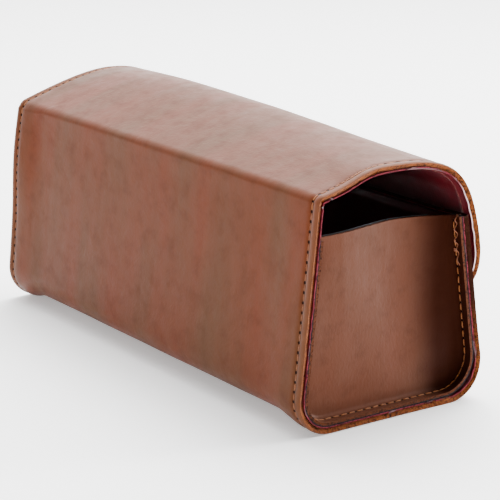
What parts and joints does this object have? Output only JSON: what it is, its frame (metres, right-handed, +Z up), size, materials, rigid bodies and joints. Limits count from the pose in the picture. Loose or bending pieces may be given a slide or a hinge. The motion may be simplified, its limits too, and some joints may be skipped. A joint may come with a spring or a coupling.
{
  "type": "eyeglasses case",
  "caption": "Long leather eyeglasses case with sewn-in end gussets, and a lid that folds over the top and hangs down the front as a flap with rounded corners.",
  "frame": {"origin": "middle of the base, where the case stands on the table", "axes": "+X along the case's length, +Y from the front, where the flap hangs, to the back wall with the crease, +Z up"},
  "size_m": [0.17, 0.068, 0.0785],
  "materials": {
    "leather": "smooth brown leather with a soft sheen",
    "burgundy_lining": "smooth, slightly glossy burgundy lining sheet",
    "black_lining": "matte black lining cloth",
    "board": "raw grey-brown fibreboard",
    "magnet": "nickel-plated disc",
    "thread": "waxed orange-brown sewing thread"
  },
  "bodies": {
    "body": {"body_wrap": "leather", "gusset_left": "leather", "gusset_right": "leather", "body_lining": "burgundy_lining", "gusset_lining_left": "black_lining", "gusset_lining_right": "black_lining", "back_board": "board", "base_board": "board", "front_board": "board", "wall_magnet": "magnet", "seam_thread_left": "thread", "seam_thread_right": "thread"},
    "lid": {"lid_panel": "leather", "lid_lining": "burgundy_lining", "lid_thread_left": "thread", "lid_thread_right": "thread"},
    "flap": {"flap_panel": "leather", "flap_lining": "burgundy_lining", "flap_magnet": "magnet", "flap_thread": "thread"}
  },
  "joints": [
    {"name": "lid_hinge", "type": "hinge", "parent": "body", "child": "lid", "pos_m": [0, 0.02783, 0.0688], "axis": [-1, 0, 0], "range_deg": [0, 175]},
    {"name": "flap_fold", "type": "hinge", "parent": "lid", "child": "flap", "pos_m": [0, -0.02303, 0.0695], "axis": [-1, 0, 0], "range_deg": [0, 75]}
  ]
}
